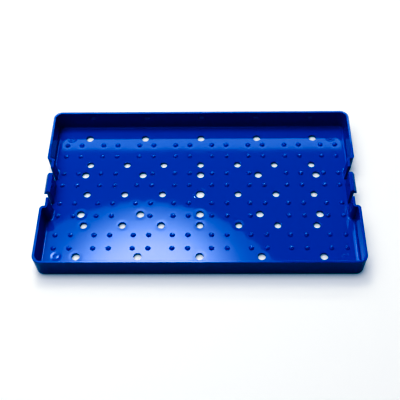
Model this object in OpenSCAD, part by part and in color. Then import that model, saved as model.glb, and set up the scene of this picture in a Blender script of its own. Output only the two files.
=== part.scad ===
// Open base of a perforated instrument cassette, moulded in one shot of glossy plastic.
// X runs along the length, Y across it and Z up. The origin is on the ground under the centre.

/* [Tray] */
// Overall length over the rim
tray_l = 254; // [240:1:280]
// Overall width over the rim
tray_w = 152.4; // [146:0.2:180]
// Height from the ground to the top of the rim
tray_h = 19.65; // [16:0.05:40]
// Thickness of the walls and of the latch tongues
wall_t = 2; // [1.7:0.05:2.6]
// Thickness of the perforated floor
floor_t = 1.9; // [1.6:0.05:3]
// How far the walls lean outward, in degrees
draft = 2.5; // [1:0.25:3]
// Outside radius of the four corners at the rim
corner_r = 7; // [6:0.5:10]
// Rounding of the two edges of the rim
rim_r = 0.4; // [0.3:0.05:0.7]
// Rounding between the walls and the underside
bottom_r = 1.8; // [1.2:0.1:2]
// Fillet between the floor and the walls inside
inner_r = 1.5; // [0.8:0.1:1.8]

/* [End recesses] */
// Length of the recess in each end wall, along Y
recess_l = 46.6; // [42:0.2:60]
// How far the end wall steps inward at the recess
recess_d = 4; // [3.8:0.1:5]
// Outside radius where the end wall turns into the recess
mouth_r = 3; // [2.9:0.05:3.1]
// Radius in the two inner corners of the recess
root_r = 0.6; // [0.4:0.05:0.7]

/* [Latches] */
// Width of the latch tongue, along Y
tongue_w = 19; // [14:0.5:22]
// Width of the slot on each side of the tongue
slot_w = 5.75; // [4.5:0.25:6]
// How far the flat top of the hook stands out over the recessed wall
hook_top = 0.8; // [0.4:0.1:1.5]
// How far the tip of the hook stands out over the recessed wall
hook_reach = 2.8; // [2:0.1:3]
// Height of the hook, from the rim to its flat underside
hook_h = 3.7; // [3:0.1:5]
// Height of the blunt tip of the hook
hook_tip_h = 0.6; // [0.3:0.1:1]
// Height of the bending line of the tongue above the floor
hinge_rise = 0.8; // [0.7:0.05:0.9]
// Gap all round the foot of the tongue in its saddle
hinge_gap = 0.05; // [0.03:0.01:0.1]

/* [Drain holes] */
// Diameter of the holes in the four rows of five
wide_hole_d = 6.5; // [5:0.1:8]
// Spacing of those holes along a row
wide_pitch = 48.5; // [44:0.5:50]
// Distance of the inner pair of those rows from the middle line
wide_row_in = 20.1; // [18:0.1:22]
// Distance of the outer pair of those rows from the middle line
wide_row_out = 60.3; // [57:0.1:62]
// Diameter of the holes in the three rows of seven
close_hole_d = 5.8; // [4:0.1:6]
// Rounding of the upper edge of those holes
close_lip_r = 0.35; // [0.2:0.05:0.5]
// Diameter of the hole in the middle of the floor
centre_hole_d = 7.4; // [5:0.1:9]
// Diameter of the shallow gate well round the middle hole
gate_well_d = 11.8; // [10:0.1:13]
// Depth of the gate well
gate_well_depth = 0.2; // [0.1:0.05:0.4]
// Width of the slope round the gate well
gate_well_edge = 0.6; // [0.3:0.1:1]

/* [Studs] */
// Diameter of a stud at the floor
stud_d = 4.3; // [3:0.1:5]
// Height of a stud
stud_h = 1.35; // [0.8:0.05:2]
// Spacing of the pairs of studs and of the close holes along X
pitch_x = 31.25; // [30:0.05:31.5]
// Spacing of the pairs of studs and of the close rows of holes along Y
pitch_y = 30.95; // [30:0.05:31.2]
// Distance between the two studs of a pair
stud_gap = 12.4; // [10:0.1:14]
// Floor kept between a stud and a hole, or the stud is left out
stud_margin = 0.3; // [0:0.1:0.6]

/* [Feet] */
// Distance between the feet along X
foot_span_x = 225; // [200:1:228]
// Distance between the feet along Y
foot_span_y = 120; // [100:1:124]
// Outside diameter of a foot ring
foot_d = 9; // [7:0.1:10]
// Diameter of the hollow in a foot ring
foot_hollow_d = 4.4; // [3:0.1:5]
// Height of the feet
foot_h = 0.6; // [0.4:0.05:2]
// Rounding of the edges of a foot ring
foot_edge_r = 0.2; // [0.1:0.05:0.3]

/* [Hidden] */
$fn = 64;
blue = "#0B3FB8";

half_l = tray_l / 2;
half_w = tray_w / 2;
base_z = foot_h;
floor_z = base_z + floor_t;
half_recess = recess_l / 2;
recess_x = half_l - recess_d;
half_window = tongue_w / 2 + slot_w;
// Floor that each wall section carries with it, so that wall and floor overlap
floor_lap = bottom_r + 3;
// Overlap that keeps cuts clear of the faces they pass through
over = 1;
// How far the flat middle of the floor stops short of the rim, and of the recess
plate_inset = 5;
notch_inset = 4;
// Round foot of the latch tongue, which fills the thickness of the tongue
hinge_r = wall_t * cos(draft) / 2;

// Point of a wall face at height z. Inset is 0 on the outer face and wall_t on the inner one.
function face_x(inset, z) = -inset - (tray_h - z) * tan(draft);

// Direction square to the outer face, in the section plane
normal = [cos(draft), -sin(draft)];

// Centre of a circle of radius r at height z that touches a face. Side is 1 where the circle
// lies on the tray's outer side of that face and -1 where it lies on the inner side.
function touching(inset, z, r, side) = [face_x(inset, z) + side * r / cos(draft), z];

// Corner where a face meets the level z
function corner(inset, z) = [face_x(inset, z), z];

// Bending line of the latch tongue, in the section plane
hinge = corner(wall_t / 2, floor_z + hinge_rise);

// Round-over of the corner between a face and a level, inside the kite between both contacts
module round_over(centre, r, face_side, level_side, tip) {
    intersection() {
        translate(centre) circle(r);
        polygon([centre, centre + face_side * r * normal, tip, centre + [0, level_side * r]]);
    }
}

// Section of the wall: X is 0 at the outer face at rim level and grows outward, Y is height
module wall_section() {
    rim_out = touching(0, tray_h - rim_r, rim_r, -1);
    rim_in = touching(wall_t, tray_h - rim_r, rim_r, 1);
    base_out = touching(0, base_z + bottom_r, bottom_r, -1);
    fillet = touching(wall_t, floor_z + inner_r, inner_r, -1);
    difference() {
        union() {
            polygon([
                [base_out.x, base_z],
                base_out,
                base_out + bottom_r * normal,
                rim_out + rim_r * normal,
                rim_out,
                [rim_out.x, tray_h],
                [rim_in.x, tray_h],
                rim_in,
                rim_in - rim_r * normal,
                fillet + inner_r * normal,
                [fillet.x, floor_z],
                [-wall_t - floor_lap, floor_z],
                [-wall_t - floor_lap, base_z]
            ]);
            round_over(rim_out, rim_r, 1, 1, corner(0, tray_h));
            round_over(rim_in, rim_r, -1, 1, corner(wall_t, tray_h));
            round_over(base_out, bottom_r, 1, -1, corner(0, base_z));
        }
        translate(fillet) circle(inner_r);
    }
}

// Wall section with its outer face at radius r, kept to one side of the axis it turns about
module turned_section(r) {
    intersection() {
        translate([r, 0]) wall_section();
        square([tray_l, 2 * tray_h]);
    }
}

// Stretch of wall from the origin along +X, with its outer face towards +Y
module straight_wall(length) {
    rotate([90, 0, 90]) linear_extrude(height = length) wall_section();
}

// What is left of the wall under the latch window, level with the floor
module sill_section() {
    intersection() {
        wall_section();
        translate([-tray_w, 0]) square([2 * tray_w, floor_z]);
    }
}

// Sill from the origin along +X, with a round saddle for the latch over its last stretch
module window_sill(length, saddle_length) {
    rotate([90, 0, 90]) {
        linear_extrude(height = length - saddle_length) sill_section();
        translate([0, 0, length - saddle_length]) linear_extrude(height = saddle_length)
            difference() {
                sill_section();
                translate(hinge) circle(hinge_r + hinge_gap);
            }
    }
}

// Quarter turn of wall with its outer face on the outside, from +X round to +Y
module outer_bend(r) {
    rotate_extrude(angle = 90) turned_section(r);
}

// Quarter turn of wall with its outer face on the inside, from +X round to +Y
module inner_bend(r) {
    rotate_extrude(angle = 90) translate([r, 0]) mirror([1, 0]) wall_section();
}

// Wall of one quarter of the tray, from the middle of the rear wall to the middle of the end
module quarter_wall() {
    mouth = [half_l - mouth_r, half_recess + mouth_r];
    root = [recess_x + root_r, half_recess - root_r];
    translate([0, half_w, 0]) straight_wall(half_l - corner_r);
    translate([half_l - corner_r, half_w - corner_r, 0]) outer_bend(corner_r);
    translate([half_l, half_w - corner_r, 0]) rotate(-90) straight_wall(half_w - corner_r - mouth.y);
    translate([mouth.x, mouth.y, 0]) rotate(-90) outer_bend(mouth_r);
    translate([mouth.x, half_recess, 0]) rotate(180) straight_wall(mouth.x - root.x);
    translate([root.x, root.y, 0]) rotate(90) inner_bend(root_r);
    translate([recess_x, root.y, 0]) rotate(-90) straight_wall(root.y - half_window);
    translate([recess_x, half_window, 0]) rotate(-90)
        window_sill(half_window, tongue_w / 2 + hinge_gap);
}

// Copies of a quarter at the four corners of the tray
module four_quarters() {
    for (flip_x = [0, 1], flip_y = [0, 1]) mirror([flip_x, 0, 0]) mirror([0, flip_y, 0]) children();
}

// Flat middle of the floor, up to where the wall sections overlap it
module floor_plate() {
    translate([0, 0, base_z]) linear_extrude(height = floor_t) difference() {
        square([tray_l - 2 * plate_inset, tray_w - 2 * plate_inset], center = true);
        for (side = [-1, 1]) translate([side * half_l, 0])
            square([2 * (recess_d + notch_inset), recess_l + 2 * notch_inset], center = true);
    }
}

// Drain holes, as [x, y, diameter, rounding of the upper edge]
holes = concat(
    [for (row = [-wide_row_out, -wide_row_in, wide_row_in, wide_row_out], i = [-2:2])
        [i * wide_pitch, row, wide_hole_d, 0]],
    [for (j = [-1:1], i = [-3:3]) i == 0 && j == 0
        ? [0, 0, centre_hole_d, 0]
        : [i * pitch_x, j * pitch_y, close_hole_d, close_lip_r]]
);

// Centres of the studs, pair by pair along X and Y
stud_grid = [for (i = [-4:3], j = [-2:1], side_x = [-1, 1], side_y = [-1, 1])
    [(i + 0.5) * pitch_x + side_x * stud_gap / 2, (j + 0.5) * pitch_y + side_y * stud_gap / 2]];

// Floor left between a stud and the nearest hole
function clear_of_holes(stud) = min([for (hole = holes)
    norm(stud - [hole.x, hole.y]) - (hole.z + stud_d) / 2]);

// Domed stud, the cap of a ball that is sunk in the floor
module stud() {
    ball_r = (pow(stud_d / 2, 2) + pow(stud_h, 2)) / (2 * stud_h);
    rotate_extrude() intersection() {
        translate([0, stud_h - ball_r]) circle(ball_r);
        translate([0, -floor_t / 2]) square([stud_d, floor_t / 2 + stud_h]);
    }
}

module stud_field() {
    for (place = stud_grid) if (clear_of_holes(place) >= stud_margin)
        translate([place.x, place.y, floor_z]) stud();
}

// Tool that cuts a drain hole of radius r, with its upper edge rounded
module drain_hole(r, lip_r) {
    if (lip_r == 0) cylinder(h = floor_z + over, r = r);
    else rotate_extrude() difference() {
        square([r + lip_r, floor_z + over]);
        translate([r, -over]) square([2 * lip_r, over + floor_z - lip_r]);
        translate([r + lip_r, floor_z - lip_r]) circle(lip_r);
    }
}

// Ring foot under the floor, with rounded edges where it stands
module foot() {
    ring_w = (foot_d - foot_hollow_d) / 2;
    rotate_extrude() translate([foot_hollow_d / 2, 0]) {
        translate([0, foot_edge_r]) square([ring_w, base_z + floor_t / 2 - foot_edge_r]);
        translate([foot_edge_r, 0]) square([ring_w - 2 * foot_edge_r, 2 * foot_edge_r]);
        for (x = [foot_edge_r, ring_w - foot_edge_r]) translate([x, foot_edge_r]) circle(foot_edge_r);
    }
}

// Tool that cuts the gate well, with a sloped edge that starts at its full width
module gate_well() {
    bottom_d = gate_well_d - 2 * gate_well_edge;
    translate([0, 0, floor_z - gate_well_depth])
        cylinder(h = 2 * gate_well_depth, d1 = bottom_d, d2 = bottom_d + 4 * gate_well_edge);
}

// The one-piece tray: floor, walls, studs and feet
module tray() {
    color(blue) difference() {
        union() {
            floor_plate();
            four_quarters() quarter_wall();
            stud_field();
            four_quarters() translate([foot_span_x / 2, foot_span_y / 2, 0]) foot();
        }
        for (hole = holes) translate([hole.x, hole.y, 0]) drain_hole(hole.z / 2, hole[3]);
        gate_well();
    }
}

// Section of the latch tongue, from the round foot in its saddle up to the hook
module latch_section() {
    rim_in = touching(wall_t, tray_h - rim_r, rim_r, 1);
    under_z = tray_h - hook_h;
    polygon([
        hinge,
        hinge + hinge_r * normal,
        corner(0, under_z),
        [hook_reach, under_z],
        [hook_reach, under_z + hook_tip_h],
        [hook_top, tray_h],
        [rim_in.x, tray_h],
        rim_in,
        rim_in - rim_r * normal,
        hinge - hinge_r * normal
    ]);
    round_over(rim_in, rim_r, -1, 1, corner(wall_t, tray_h));
    translate(hinge) circle(hinge_r);
}

// Latch tongue of the right-hand end
module latch() {
    color(blue) translate([recess_x, tongue_w / 2, 0]) rotate([90, 0, 0])
        linear_extrude(height = tongue_w) latch_section();
}

module left_latch() { mirror([1, 0, 0]) latch(); }
module right_latch() { latch(); }

tray();
left_latch();
right_latch();
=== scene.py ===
"""Finish an open perforated instrument tray in glossy blue plastic, with its two snap tongues."""

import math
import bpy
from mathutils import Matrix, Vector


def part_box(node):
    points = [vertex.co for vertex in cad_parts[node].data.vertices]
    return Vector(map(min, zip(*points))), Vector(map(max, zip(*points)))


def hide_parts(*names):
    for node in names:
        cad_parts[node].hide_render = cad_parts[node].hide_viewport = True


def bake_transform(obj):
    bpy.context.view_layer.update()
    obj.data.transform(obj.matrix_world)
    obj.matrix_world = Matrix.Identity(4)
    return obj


bl_info = {
    "name": "Instrument Tray Finish",
    "version": (1, 0, 0),
    "blender": (4, 5, 0),
    "location": "View3D > Sidebar > Tray",
    "description": "Finishes a moulded instrument tray, models its snap tongues and lights it softly",
    "category": "Object",
}

import bpy
from mathutils import Matrix, Vector

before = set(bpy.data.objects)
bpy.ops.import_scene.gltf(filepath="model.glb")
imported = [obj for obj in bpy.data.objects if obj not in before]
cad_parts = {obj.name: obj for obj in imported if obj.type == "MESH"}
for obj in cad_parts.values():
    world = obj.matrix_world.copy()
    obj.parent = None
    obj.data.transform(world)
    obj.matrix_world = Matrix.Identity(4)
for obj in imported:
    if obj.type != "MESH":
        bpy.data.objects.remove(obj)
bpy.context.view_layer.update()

MM = 0.001
SIDES = {"left": -1, "right": 1}
LATCH_LOW, LATCH_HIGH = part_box("right_latch")


def linear(hex_colour):
    """Turn an sRGB hex colour into linear red, green, blue and an alpha of 1."""
    channels = [int(hex_colour[i : i + 2], 16) / 255 for i in (1, 3, 5)]
    return [c / 12.92 if c <= 0.04045 else ((c + 0.055) / 1.055) ** 2.4 for c in channels] + [1]


def put(tree, kind, inputs=None, **settings):
    """Add a node, set its properties, and set or link its inputs. Return its first output."""
    node = tree.nodes.new(kind)
    for name, value in settings.items():
        setattr(node, name, value)
    for key, value in (inputs or {}).items():
        if isinstance(value, bpy.types.NodeSocket):
            tree.links.new(value, node.inputs[key])
        else:
            node.inputs[key].default_value = value
    return node.outputs[0] if node.outputs else node


def length(name, description, default):
    """Property that holds a length in metres."""
    return bpy.props.FloatProperty(
        name=name, description=description, default=default, unit="LENGTH", precision=5
    )


class TraySizes(bpy.types.PropertyGroup):
    """Sizes of the moulding that the finish and the tongues follow."""

    wall: length("Wall", "Thickness of the walls and tongues", 2 * MM)
    draft: bpy.props.FloatProperty(
        name="Draft", description="Lean of the walls", default=math.radians(2.5), subtype="ANGLE"
    )
    floor_top: length("Floor", "Height of the floor's upper face", 2.5 * MM)
    root_depth: length("Root depth", "How far a tongue's root is sunk in the floor", 0.35 * MM)
    hook_reach: length("Hook reach", "How far the tip of the hook stands out over the wall", 2.8 * MM)
    hook_height: length("Hook height", "Height of the hook below the rim", 3.7 * MM)
    hook_tip: length("Hook tip", "Height of the hook's blunt tip", 0.6 * MM)
    hook_top: length("Hook top", "How far the flat top of the hook stands out", 0.8 * MM)
    top_extra: length("Top extra", "How much thicker than the solid a tongue is at its top", 0.45 * MM)
    low_extra: length("Low extra", "How much thicker than the solid it is below the hook", 0.6 * MM)
    edge_round: length("Edge round", "Rounding of a tongue's edges", 0.3 * MM)
    bend_from: length("Bend from", "Height above the floor where a tongue's cross cuts begin", 1.3 * MM)
    bend_step: length("Bend step", "Distance between the cross cuts that let it bend", 1.15 * MM)
    bend_cuts: bpy.props.IntProperty(name="Bend cuts", description="Number of cross cuts", default=8)
    bend_height: length("Bend height", "Height above the floor over which a tongue bends", 7 * MM)
    close_pitch: bpy.props.FloatVectorProperty(
        name="Close pitch",
        description="Spacing of the stud pairs and close holes",
        default=(31.25 * MM, 30.95 * MM),
        size=2,
    )
    stud_gap: length("Stud gap", "Distance between two studs of a pair", 12.4 * MM)
    wide_pitch: bpy.props.FloatVectorProperty(
        name="Wide pitch", description="Spacing of the larger holes", default=(48.5 * MM, 40.2 * MM), size=2
    )
    foot_span: bpy.props.FloatVectorProperty(
        name="Feet", description="Spacing of the ring feet", default=(225 * MM, 120 * MM), size=2
    )


class PlasticFinish(bpy.types.PropertyGroup):
    """Colour and surface of the moulded plastic."""

    colour: bpy.props.FloatVectorProperty(
        name="Colour", description="Colour of the plastic", default=linear("#0A4A97")[:3], subtype="COLOR"
    )
    gloss: bpy.props.FloatProperty(
        name="Roughness", description="Roughness of the polished mould", default=0.04, subtype="FACTOR"
    )
    sink_depth: length("Sink", "How deep the plastic sinks around holes", 0.02 * MM)
    foot_sink: length("Foot sink", "How deep the plastic sinks over a ring foot", 0.12 * MM)
    stud_share: bpy.props.FloatProperty(
        name="Stud sink", description="Sink around a stud as a share of that", default=0.2, subtype="FACTOR"
    )
    sink_reach: length("Sink reach", "How far a sink spreads", 3.2 * MM)


class StudioSetup(bpy.types.PropertyGroup):
    """Place and lens of the camera."""

    elevation: bpy.props.FloatProperty(
        name="Elevation", description="Height of the camera", default=math.radians(54.23), subtype="ANGLE"
    )
    azimuth: bpy.props.FloatProperty(
        name="Azimuth", description="Turn of the camera", default=math.radians(2.06), subtype="ANGLE"
    )
    roll: bpy.props.FloatProperty(
        name="Roll", description="Tilt of the picture", default=math.radians(-1.85), subtype="ANGLE"
    )
    distance: length("Distance", "Camera to target", 0.6222)
    target: bpy.props.FloatVectorProperty(
        name="Target", description="Point at the middle of the picture", default=(-0.00016, -0.00549, 0.00177)
    )
    lens: bpy.props.FloatProperty(name="Lens", description="Focal length in millimetres", default=68.05)
    sensor: bpy.props.FloatProperty(name="Sensor", description="Sensor width in millimetres", default=36)


def only(*chosen):
    """Leave object mode's selection with just these objects, the last of them active."""
    bpy.ops.object.select_all(action="DESELECT")
    for item in chosen:
        item.select_set(True)
        bpy.context.view_layer.objects.active = item


def pick(mesh, test):
    """Select the faces of a mesh in edit mode whose centre and normal pass a test."""
    bpy.ops.mesh.select_all(action="DESELECT")
    bpy.ops.object.mode_set(mode="OBJECT")
    for face in mesh.polygons:
        face.select = test(face.center, face.normal)
    bpy.ops.object.mode_set(mode="EDIT")


def pick_points(mesh, test):
    """Select the vertices of a mesh in edit mode whose place passes a test."""
    bpy.ops.mesh.select_all(action="DESELECT")
    bpy.ops.object.mode_set(mode="OBJECT")
    for point in mesh.vertices:
        point.select = test(point.co)
    bpy.ops.object.mode_set(mode="EDIT")
    bpy.ops.mesh.select_mode(type="VERT")


def cut_level(height):
    """Cut all of the mesh in edit mode at one height."""
    bpy.ops.mesh.select_all(action="SELECT")
    bpy.ops.mesh.bisect(plane_co=(0, 0, height), plane_no=(0, 0, 1))


def near(a, b):
    """Tell whether two lengths agree to a hundredth of a millimetre."""
    return abs(a - b) < 0.01 * MM


def nearest_in_grid(tree, place, pitch, middle, count):
    """Vector from the nearest point of a grid. Middle shifts the grid, count is copies each way."""
    pitch, middle, count = Vector((*pitch, 1)), Vector((*middle, 0)), Vector((*count, 0))
    moved = put(tree, "ShaderNodeVectorMath", {0: place, 1: middle + pitch / 2}, operation="ADD")
    cell = put(tree, "ShaderNodeVectorMath", {0: moved, 1: pitch}, operation="SNAP")
    centre = put(tree, "ShaderNodeVectorMath", {0: cell, 1: -middle}, operation="ADD")
    reach = Vector([c * p for c, p in zip(count, pitch)])
    inside = put(tree, "ShaderNodeVectorMath", {0: centre, 1: reach}, operation="MINIMUM")
    inside = put(tree, "ShaderNodeVectorMath", {0: inside, 1: -reach}, operation="MAXIMUM")
    away = put(tree, "ShaderNodeVectorMath", {0: place, 1: inside}, operation="SUBTRACT")
    return put(tree, "ShaderNodeVectorMath", {0: away, 1: (1, 1, 0)}, operation="MULTIPLY")


def reach_of(tree, away):
    """Length of a vector. Its output isn't the node's first, so put can't return it."""
    node = tree.nodes.new("ShaderNodeVectorMath")
    node.operation = "LENGTH"
    tree.links.new(away, node.inputs[0])
    return node.outputs["Value"]


def halo(tree, away, radius, reach):
    """Weight that falls from 1 at an edge of that radius to 0 a reach further out."""
    ramp = {"Value": reach_of(tree, away), "From Min": radius, "From Max": radius + reach}
    ramp.update({"To Min": 1.0, "To Max": 0.0})
    return put(tree, "ShaderNodeMapRange", ramp, interpolation_type="SMOOTHERSTEP")


def hole_and_stud_sinks(tree, place, sizes, finish):
    """Weight of the sinks around the holes, and weaker ones around the studs."""
    stud_edge, close_edge, wide_edge = 2.0 * MM, 2.9 * MM, 3.2 * MM
    pitch, gap = Vector(sizes.close_pitch), sizes.stud_gap / 2
    pair = nearest_in_grid(tree, place, pitch, pitch / 2, (3.5, 1.5))
    pair = put(tree, "ShaderNodeVectorMath", {0: pair}, operation="ABSOLUTE")
    stud = put(tree, "ShaderNodeVectorMath", {0: pair, 1: (gap, gap, 0)}, operation="SUBTRACT")
    close = nearest_in_grid(tree, place, pitch, (0, 0), (3, 1))
    wide_x, wide_y = sizes.wide_pitch
    wide = nearest_in_grid(tree, place, (wide_x, wide_y), (0, wide_y / 2), (2, 1.5))
    beside_stud = halo(tree, stud, stud_edge, finish.sink_reach)
    faint = put(tree, "ShaderNodeMath", {0: beside_stud, 1: finish.stud_share}, operation="MULTIPLY")
    beside_close = halo(tree, close, close_edge, finish.sink_reach)
    beside_wide = halo(tree, wide, wide_edge, finish.sink_reach)
    deepest = put(tree, "ShaderNodeMath", {0: beside_close, 1: beside_wide}, operation="MAXIMUM")
    return put(tree, "ShaderNodeMath", {0: deepest, 1: faint}, operation="MAXIMUM")


def foot_sinks(tree, place, sizes):
    """Weight of the round dishes over the ring feet, each with a lower crown in its middle."""
    dish_flat, dish_slope = 2.2 * MM, 2.8 * MM
    crown_flat, crown_slope, crown_share = 0.8 * MM, 1.6 * MM, 0.7
    foot_x, foot_y = sizes.foot_span
    foot = nearest_in_grid(tree, place, (foot_x, foot_y), (foot_x / 2, foot_y / 2), (0.5, 0.5))
    dish = halo(tree, foot, dish_flat, dish_slope)
    crown = halo(tree, foot, crown_flat, crown_slope)
    return put(tree, "ShaderNodeMath", {0: crown, 1: -crown_share, 2: dish}, operation="MULTIPLY_ADD")


def gloss_plastic(name):
    """Polyphenylsulfone, injection moulded in a polished mould: deep blue under a mirror skin.

    The skin sinks a little around the holes, the studs and the feet, which bends the lights in it
    into rings. It wavers slowly where the melt flowed, which keeps long reflections from being
    straight, and fine scuffs vary its gloss.
    """
    flow_size, flow_depth, scuff_size = 45 * MM, 0.03, 9 * MM
    glossiest, dullest = 0.7, 1.4
    sizes, finish = bpy.context.scene.tray_sizes, bpy.context.scene.tray_finish
    material = bpy.data.materials.new(name)
    material.use_nodes = True
    tree = material.node_tree
    shader = tree.nodes["Principled BSDF"]
    place = tree.nodes.new("ShaderNodeTexCoord").outputs["Object"]

    beside = hole_and_stud_sinks(tree, place, sizes, finish)
    sink = put(tree, "ShaderNodeMath", {0: beside, 1: -finish.sink_depth / MM}, operation="MULTIPLY")
    ring = foot_sinks(tree, place, sizes)
    feet = {0: ring, 1: -finish.foot_sink / MM, 2: sink}
    sink = put(tree, "ShaderNodeMath", feet, operation="MULTIPLY_ADD")

    flow = put(tree, "ShaderNodeTexNoise", {"Vector": place, "Scale": 1 / flow_size, "Detail": 1.0})
    flow = put(tree, "ShaderNodeMath", {0: flow, 1: flow_depth}, operation="MULTIPLY")
    skin = put(tree, "ShaderNodeMath", {0: sink, 1: flow}, operation="ADD")
    bump = put(tree, "ShaderNodeBump", {"Height": skin, "Strength": 1.0, "Distance": MM})

    scuff = put(tree, "ShaderNodeTexNoise", {"Vector": place, "Scale": 1 / scuff_size, "Detail": 4.0})
    rough = {"Value": scuff, "To Min": finish.gloss * glossiest, "To Max": finish.gloss * dullest}
    rough = put(tree, "ShaderNodeMapRange", rough)
    tree.links.new(rough, shader.inputs["Roughness"])
    tree.links.new(bump, shader.inputs["Normal"])
    shader.inputs["Base Color"].default_value = (*finish.colour, 1)
    shader.inputs["IOR"].default_value = 1.6
    shader.inputs["Specular Tint"].default_value = linear("#BABCFF")
    return material


class TRAY_OT_finish_moulding(bpy.types.Operator):
    """Give the moulded tray its glossy plastic"""

    bl_idname = "tray.finish_moulding"
    bl_label = "Finish Moulding"

    def execute(self, context):
        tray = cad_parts["tray"]
        tray.data.materials.clear()
        tray.data.materials.append(gloss_plastic("moulded_blue_polyphenylsulfone"))
        return {"FINISHED"}


class TRAY_OT_build_tongues(bpy.types.Operator):
    """Model the two snap tongues, which grow out of the floor, with cross cuts up their height"""

    bl_idname = "tray.build_tongues"
    bl_label = "Build Snap Tongues"

    def execute(self, context):
        for side in SIDES:
            self.tongue(context, side)
        return {"FINISHED"}

    def tongue(self, context, side):
        """One tongue, shaped at the right-hand end and mirrored for the left one."""
        sizes = context.scene.tray_sizes
        face = LATCH_HIGH.x - sizes.hook_reach
        tongue = self.slab(context, sizes, face)
        tongue.name = side + "_tongue"
        mesh = tongue.data
        self.hook(mesh, sizes, face)
        self.thicken(mesh, sizes, face)
        for step in range(1, sizes.bend_cuts + 1):
            cut_level(sizes.floor_top + sizes.bend_from + step * sizes.bend_step)
        bpy.ops.object.mode_set(mode="OBJECT")
        self.round_edges(tongue, sizes)
        if SIDES[side] < 0:
            self.mirror()
        bpy.context.scene.cursor.location = (0, 0, 0)
        bpy.ops.object.origin_set(type="ORIGIN_CURSOR")
        self.smooth(tongue)
        mesh.materials.append(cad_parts["tray"].data.materials[0])
        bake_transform(tongue)
        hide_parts(side + "_latch")

    def slab(self, context, sizes, face):
        """Leaning slab from the floor to the rim, left in edit mode."""
        foot = sizes.floor_top - sizes.root_depth
        height = LATCH_HIGH.z - foot
        width = LATCH_HIGH.y - LATCH_LOW.y
        centre = (face - sizes.wall / 2, 0, foot + height / 2)
        bpy.ops.object.select_all(action="DESELECT")
        bpy.ops.mesh.primitive_cube_add(size=1, location=centre, scale=(sizes.wall, width, height))
        tongue = context.active_object
        mesh = tongue.data
        bpy.ops.object.transform_apply(location=True, rotation=False, scale=True)
        bpy.ops.object.mode_set(mode="EDIT")
        pick_points(mesh, lambda p: near(p.z, foot))
        bpy.ops.transform.translate(value=(-height * math.tan(sizes.draft), 0, 0))
        pick_points(mesh, lambda p: near(p.z, LATCH_HIGH.z) and p.x < face - sizes.wall / 2)
        bpy.ops.transform.translate(value=(-sizes.top_extra, 0, 0))
        return tongue

    def hook(self, mesh, sizes, face):
        """Hook on the outer face, with a flat underside, a blunt tip and a sloped top."""
        tip_x, top = LATCH_HIGH.x, LATCH_HIGH.z
        lean_out = sizes.hook_height * math.tan(sizes.draft)
        under = top - sizes.hook_height
        for level in (under, under + sizes.hook_tip):
            cut_level(level)
        bpy.ops.mesh.select_mode(type="FACE")
        pick(mesh, lambda c, n: n.x > 0.9 and c.z > under)
        reach = tip_x - face + lean_out
        bpy.ops.mesh.extrude_region_move(TRANSFORM_OT_translate={"value": (reach, 0, 0)})
        pick_points(mesh, lambda p: near(p.z, top) and p.x > face + sizes.wall / 2)
        bpy.ops.transform.translate(value=(face + sizes.hook_top - tip_x - lean_out, 0, 0))
        pick_points(mesh, lambda p: p.x > tip_x)
        bpy.ops.transform.resize(value=(0, 1, 1), center_override=(tip_x, 0, 0))

    def thicken(self, mesh, sizes, face):
        """Outer face moved out below the hook, which narrows the light that shows past it."""
        under = LATCH_HIGH.z - sizes.hook_height
        low = under + 0.01 * MM
        pick_points(mesh, lambda p: p.z < low and abs(p.x - face) < sizes.wall / 2)
        bpy.ops.transform.translate(value=(sizes.low_extra, 0, 0))

    def round_edges(self, tongue, sizes):
        only(tongue)
        bevel = tongue.modifiers.new("edges", "BEVEL")
        bevel.width = sizes.edge_round
        bevel.segments = 3
        bevel.limit_method = "ANGLE"
        bevel.angle_limit = math.radians(25)
        bpy.ops.object.modifier_apply(modifier=bevel.name)

    def mirror(self):
        """The active tongue mirrored to the left-hand end, with its faces turned outward again."""
        bpy.ops.transform.mirror(constraint_axis=(True, False, False), center_override=(0, 0, 0))
        bpy.ops.object.transform_apply(location=True, rotation=False, scale=True)
        bpy.ops.object.mode_set(mode="EDIT")
        bpy.ops.mesh.select_all(action="SELECT")
        bpy.ops.mesh.normals_make_consistent(inside=False)
        bpy.ops.object.mode_set(mode="OBJECT")

    def smooth(self, tongue):
        """Smooth shading that keeps the large flat faces flat up to their rounded edges."""
        bpy.ops.object.shade_smooth_by_angle(angle=math.radians(35))
        even = tongue.modifiers.new("even", "WEIGHTED_NORMAL")
        even.keep_sharp = True
        bpy.ops.object.modifier_apply(modifier=even.name)


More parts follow.
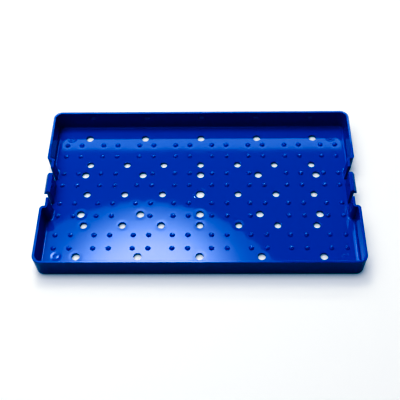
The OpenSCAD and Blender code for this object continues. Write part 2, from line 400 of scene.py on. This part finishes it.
class TRAY_OT_build_stage(bpy.types.Operator):
    """Set the tray on a pale card under soft light, with the camera in front and above"""

    bl_idname = "tray.build_stage"
    bl_label = "Build Stage"

    def execute(self, context):
        self.card()
        self.softbox()
        self.rear_light("rear_panel", place=(0, 1.5, 1.557), width=2.6, height=0.4, radiance=3.9)
        self.rear_strip()
        self.fill()
        self.room(context.scene)
        self.grade(context.scene.view_settings)
        self.camera(context.scene)
        return {"FINISHED"}

    def card(self):
        """Matt card. It glows evenly, only to the camera, and less where something stands close over it: that
        dimmed glow is a painted shadow around and under the tray.

        So it reads as white as the photo's ground, and yet throws no more light on the tray than
        a grey card does.
        """
        size, glow_strength, painted_shadow_reach = 8, 0.45, 5 * MM
        bpy.ops.object.select_all(action="DESELECT")
        bpy.ops.mesh.primitive_plane_add(size=size, location=(0, 0, 0))
        ground = bpy.context.active_object
        ground.name = "ground"
        material = bpy.data.materials.new("matt_card")
        material.use_nodes = True
        tree = material.node_tree
        shader = tree.nodes["Principled BSDF"]
        shader.inputs["Base Color"].default_value = linear("#BCBCBC")
        shader.inputs["Roughness"].default_value = 0.9
        shader.inputs["Specular IOR Level"].default_value = 0.1
        shader.inputs["Emission Color"].default_value = linear("#FFFFFF")
        seen = tree.nodes.new("ShaderNodeLightPath").outputs["Is Camera Ray"]
        # Ambient occlusion dims the camera-only glow close to the tray and in its gaps: a painted shadow.
        outside_painted_shadow = put(tree, "ShaderNodeAmbientOcclusion", {"Distance": painted_shadow_reach}, samples=8)
        glow = put(tree, "ShaderNodeMath", {0: seen, 1: outside_painted_shadow}, operation="MULTIPLY")
        glow = put(tree, "ShaderNodeMath", {0: glow, 1: glow_strength}, operation="MULTIPLY")
        tree.links.new(glow, shader.inputs["Emission Strength"])
        ground.data.materials.append(material)

    def softbox(self):
        """A round softbox overhead: an even skirt with the lamp's hot area behind its cloth."""
        place, radius = (-0.161, 0.347, 1.0), 0.36
        hot_radius, hot_offset = 0.211, Vector((0.018, 0.124))
        hot_strength, skirt_strength = 15.0, 2.1
        fade_from, fade_to = 0.35, 1.25
        bpy.ops.object.light_add(type="AREA", location=place)
        lamp = bpy.context.active_object
        lamp.name = "softbox"
        lamp.data.shape = "DISK"
        lamp.data.size = 2 * radius
        lamp.data.energy = 4 * math.pi * radius**2
        lamp.data.use_nodes = True
        tree = lamp.data.node_tree
        spot = tree.nodes.new("ShaderNodeNewGeometry").outputs["Parametric"]
        offset = hot_offset / (2 * radius)
        centre = (0.5 + offset.x, 0.5 + offset.y, 0)
        away = put(tree, "ShaderNodeVectorMath", {0: spot, 1: centre}, operation="SUBTRACT")
        away = put(tree, "ShaderNodeVectorMath", {0: away, 1: (1, 1, 0)}, operation="MULTIPLY")
        edge = hot_radius / (2 * radius)
        fade = {"Value": reach_of(tree, away), "From Min": fade_from * edge, "From Max": fade_to * edge}
        fade.update({"To Min": hot_strength, "To Max": skirt_strength})
        strength = put(tree, "ShaderNodeMapRange", fade, interpolation_type="SMOOTHSTEP")
        tree.links.new(strength, tree.nodes["Emission"].inputs["Strength"])

    def rear_light(self, name, place, width, height, radiance):
        """Upright rectangle of light behind the tray that faces the front. Return the lamp."""
        bpy.ops.object.light_add(type="AREA", location=place, rotation=(math.radians(-90), 0, 0))
        lamp = bpy.context.active_object
        lamp.name = name
        lamp.data.shape = "RECTANGLE"
        lamp.data.size, lamp.data.size_y = width, height
        lamp.data.energy = radiance * 4 * width * height
        return lamp

    def rear_strip(self):
        """Low bright strip that only studs, fillets and rounded rims are tilted enough to show."""
        lamp = self.rear_light("rear_strip", place=(0.45, 1.4, 0.8), width=1.2, height=0.25, radiance=20.0)
        lamp.visible_diffuse = False

    def fill(self):
        """Broad light from the left that is kept out of the plastic's reflections."""
        place, tilt = (-0.3, 0.0, 0.9), math.radians(-18)
        bpy.ops.object.light_add(type="AREA", location=place, rotation=(0, tilt, 0))
        lamp = bpy.context.active_object
        lamp.name = "fill"
        lamp.data.shape = "DISK"
        lamp.data.size = 0.8
        lamp.data.energy = 6.0
        lamp.visible_glossy = False

    def room(self, scene):
        scene.world = bpy.data.worlds.new("room")
        scene.world.use_nodes = True
        background = scene.world.node_tree.nodes["Background"]
        background.inputs["Color"].default_value = linear("#8A90A0")
        background.inputs["Strength"].default_value = 0.3

    def grade(self, view):
        """The photo's contrast: blacks crushed, red most and blue least, and whites held."""
        view.view_transform = "Standard"
        view.use_curve_mapping = True
        red = ((0.0, 0.0), (0.13, 0.0), (0.56, 0.42), (1.0, 0.93))
        green = ((0.0, 0.0), (0.08, 0.02), (0.56, 0.474), (1.0, 0.95))
        blue = ((0.0, 0.0), (0.06, 0.014), (0.11, 0.044), (0.34, 0.33), (0.56, 0.558), (1.0, 0.96))
        for channel, points in enumerate((red, green, blue)):
            curve = view.curve_mapping.curves[channel]
            for place in points[1:-1]:
                curve.points.new(*place)
            curve.points[0].location, curve.points[-1].location = points[0], points[-1]
        view.curve_mapping.update()

    def camera(self, scene):
        setup = scene.tray_studio
        bpy.ops.object.camera_add()
        eye = bpy.context.active_object
        eye.name = "camera"
        azimuth, elevation, roll = setup.azimuth, setup.elevation, setup.roll
        across = Vector((math.sin(azimuth), -math.cos(azimuth), 0))
        back = across * math.cos(elevation) + Vector((0, 0, math.sin(elevation)))
        level = Vector((0, 0, 1)).cross(back).normalized()
        above = back.cross(level)
        right = math.cos(roll) * level + math.sin(roll) * above
        up = back.cross(right)
        turn = Matrix((right, up, back)).transposed().to_4x4()
        eye.matrix_world = Matrix.Translation(Vector(setup.target) + back * setup.distance) @ turn
        eye.data.lens = setup.lens
        eye.data.sensor_width = setup.sensor
        scene.camera = eye


class TRAY_PT_panel(bpy.types.Panel):
    """Buttons that finish the tray, in the order that they are used"""

    bl_label = "Instrument Tray"
    bl_idname = "TRAY_PT_panel"
    bl_space_type = "VIEW_3D"
    bl_region_type = "UI"
    bl_category = "Tray"

    def draw(self, context):
        for group in GROUPS:
            settings = getattr(context.scene, group)
            for name in settings.bl_rna.properties.keys():
                if name not in ("rna_type", "name"):
                    self.layout.prop(settings, name)
        for step in STEPS:
            self.layout.operator(step.bl_idname)


STEPS = (TRAY_OT_finish_moulding, TRAY_OT_build_tongues, TRAY_OT_build_stage)
GROUPS = {"tray_sizes": TraySizes, "tray_finish": PlasticFinish, "tray_studio": StudioSetup}


def register():
    for group in GROUPS.values():
        bpy.utils.register_class(group)
    for step in (*STEPS, TRAY_PT_panel):
        bpy.utils.register_class(step)
    for name, group in GROUPS.items():
        setattr(bpy.types.Scene, name, bpy.props.PointerProperty(type=group))


def unregister():
    for name in GROUPS:
        delattr(bpy.types.Scene, name)
    for step in (TRAY_PT_panel, *reversed(STEPS)):
        bpy.utils.unregister_class(step)
    for group in reversed(GROUPS.values()):
        bpy.utils.unregister_class(group)


def main():
    register()
    bpy.ops.tray.finish_moulding()
    bpy.ops.tray.build_tongues()
    bpy.ops.tray.build_stage()


if __name__ == "__main__":
    main()
